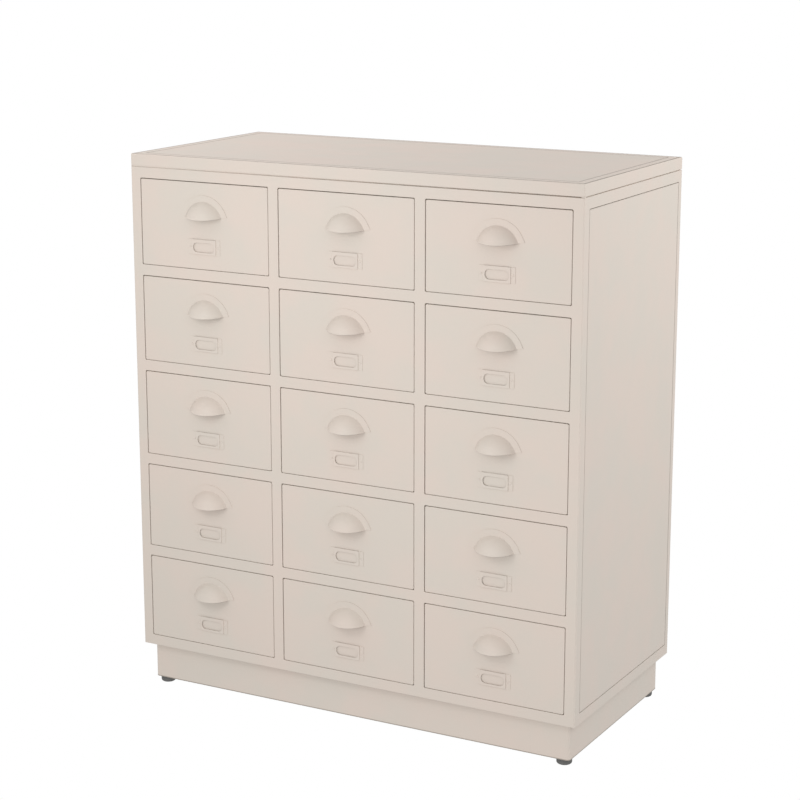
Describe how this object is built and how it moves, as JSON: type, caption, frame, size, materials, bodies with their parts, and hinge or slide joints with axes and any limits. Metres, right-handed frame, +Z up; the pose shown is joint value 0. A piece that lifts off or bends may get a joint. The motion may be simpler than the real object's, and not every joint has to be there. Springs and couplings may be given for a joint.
{
  "type": "drawer cabinet",
  "caption": "Low steel cabinet on a recessed plinth, with a grid of equal drawers that slide on channels and carry cup pulls and label holders.",
  "frame": {"origin": "middle of the whole outline, pulls included, on the floor", "axes": "+X to the right as seen from the front, +Y from the front to the back, +Z up"},
  "size_m": [0.9, 0.455, 1.019],
  "materials": {
    "case_paint": "satin cream powder coat",
    "drawer_paint": "satin cream powder coat",
    "fitting_paint": "satin cream enamel",
    "inner_paint": "thinner cream coat inside the case",
    "zinc_steel": "bright zinc plating",
    "foot_plastic": "dark grey moulded plastic"
  },
  "bodies": {
    "case": {"corner_posts": "case_paint", "top_frame": "case_paint", "top_panel": "case_paint", "front_rails": "case_paint", "front_mullions": "case_paint", "side_and_back_rails": "case_paint", "left_side_panel": "case_paint", "right_side_panel": "case_paint", "back_panel": "case_paint", "bottom_panel": "inner_paint", "inner_walls": "inner_paint", "drawer_channels": "zinc_steel", "plinth": "case_paint", "foot_pads": "foot_plastic", "foot_studs": "zinc_steel"},
    "drawer_r1c1": {"drawer_r1c1": "drawer_paint", "cup_pull_r1c1": "fitting_paint", "label_holder_r1c1": "fitting_paint"},
    "drawer_r1c2": {"drawer_r1c2": "drawer_paint", "cup_pull_r1c2": "fitting_paint", "label_holder_r1c2": "fitting_paint"},
    "drawer_r1c3": {"drawer_r1c3": "drawer_paint", "cup_pull_r1c3": "fitting_paint", "label_holder_r1c3": "fitting_paint"},
    "drawer_r2c1": {"drawer_r2c1": "drawer_paint", "cup_pull_r2c1": "fitting_paint", "label_holder_r2c1": "fitting_paint"},
    "drawer_r2c2": {"drawer_r2c2": "drawer_paint", "cup_pull_r2c2": "fitting_paint", "label_holder_r2c2": "fitting_paint"},
    "drawer_r2c3": {"drawer_r2c3": "drawer_paint", "cup_pull_r2c3": "fitting_paint", "label_holder_r2c3": "fitting_paint"},
    "drawer_r3c1": {"drawer_r3c1": "drawer_paint", "cup_pull_r3c1": "fitting_paint", "label_holder_r3c1": "fitting_paint"},
    "drawer_r3c2": {"drawer_r3c2": "drawer_paint", "cup_pull_r3c2": "fitting_paint", "label_holder_r3c2": "fitting_paint"},
    "drawer_r3c3": {"drawer_r3c3": "drawer_paint", "cup_pull_r3c3": "fitting_paint", "label_holder_r3c3": "fitting_paint"},
    "drawer_r4c1": {"drawer_r4c1": "drawer_paint", "cup_pull_r4c1": "fitting_paint", "label_holder_r4c1": "fitting_paint"},
    "drawer_r4c2": {"drawer_r4c2": "drawer_paint", "cup_pull_r4c2": "fitting_paint", "label_holder_r4c2": "fitting_paint"},
    "drawer_r4c3": {"drawer_r4c3": "drawer_paint", "cup_pull_r4c3": "fitting_paint", "label_holder_r4c3": "fitting_paint"},
    "drawer_r5c1": {"drawer_r5c1": "drawer_paint", "cup_pull_r5c1": "fitting_paint", "label_holder_r5c1": "fitting_paint"},
    "drawer_r5c2": {"drawer_r5c2": "drawer_paint", "cup_pull_r5c2": "fitting_paint", "label_holder_r5c2": "fitting_paint"},
    "drawer_r5c3": {"drawer_r5c3": "drawer_paint", "cup_pull_r5c3": "fitting_paint", "label_holder_r5c3": "fitting_paint"}
  },
  "joints": [
    {"name": "drawer_r1c1_slide", "type": "slide", "parent": "case", "child": "drawer_r1c1", "axis": [0, -1, 0], "range_m": [0, 0.3]},
    {"name": "drawer_r1c2_slide", "type": "slide", "parent": "case", "child": "drawer_r1c2", "axis": [0, -1, 0], "range_m": [0, 0.3]},
    {"name": "drawer_r1c3_slide", "type": "slide", "parent": "case", "child": "drawer_r1c3", "axis": [0, -1, 0], "range_m": [0, 0.3]},
    {"name": "drawer_r2c1_slide", "type": "slide", "parent": "case", "child": "drawer_r2c1", "axis": [0, -1, 0], "range_m": [0, 0.3]},
    {"name": "drawer_r2c2_slide", "type": "slide", "parent": "case", "child": "drawer_r2c2", "axis": [0, -1, 0], "range_m": [0, 0.3]},
    {"name": "drawer_r2c3_slide", "type": "slide", "parent": "case", "child": "drawer_r2c3", "axis": [0, -1, 0], "range_m": [0, 0.3]},
    {"name": "drawer_r3c1_slide", "type": "slide", "parent": "case", "child": "drawer_r3c1", "axis": [0, -1, 0], "range_m": [0, 0.3]},
    {"name": "drawer_r3c2_slide", "type": "slide", "parent": "case", "child": "drawer_r3c2", "axis": [0, -1, 0], "range_m": [0, 0.3]},
    {"name": "drawer_r3c3_slide", "type": "slide", "parent": "case", "child": "drawer_r3c3", "axis": [0, -1, 0], "range_m": [0, 0.3]},
    {"name": "drawer_r4c1_slide", "type": "slide", "parent": "case", "child": "drawer_r4c1", "axis": [0, -1, 0], "range_m": [0, 0.3]},
    {"name": "drawer_r4c2_slide", "type": "slide", "parent": "case", "child": "drawer_r4c2", "axis": [0, -1, 0], "range_m": [0, 0.3]},
    {"name": "drawer_r4c3_slide", "type": "slide", "parent": "case", "child": "drawer_r4c3", "axis": [0, -1, 0], "range_m": [0, 0.3]},
    {"name": "drawer_r5c1_slide", "type": "slide", "parent": "case", "child": "drawer_r5c1", "axis": [0, -1, 0], "range_m": [0, 0.3]},
    {"name": "drawer_r5c2_slide", "type": "slide", "parent": "case", "child": "drawer_r5c2", "axis": [0, -1, 0], "range_m": [0, 0.3]},
    {"name": "drawer_r5c3_slide", "type": "slide", "parent": "case", "child": "drawer_r5c3", "axis": [0, -1, 0], "range_m": [0, 0.3]}
  ]
}
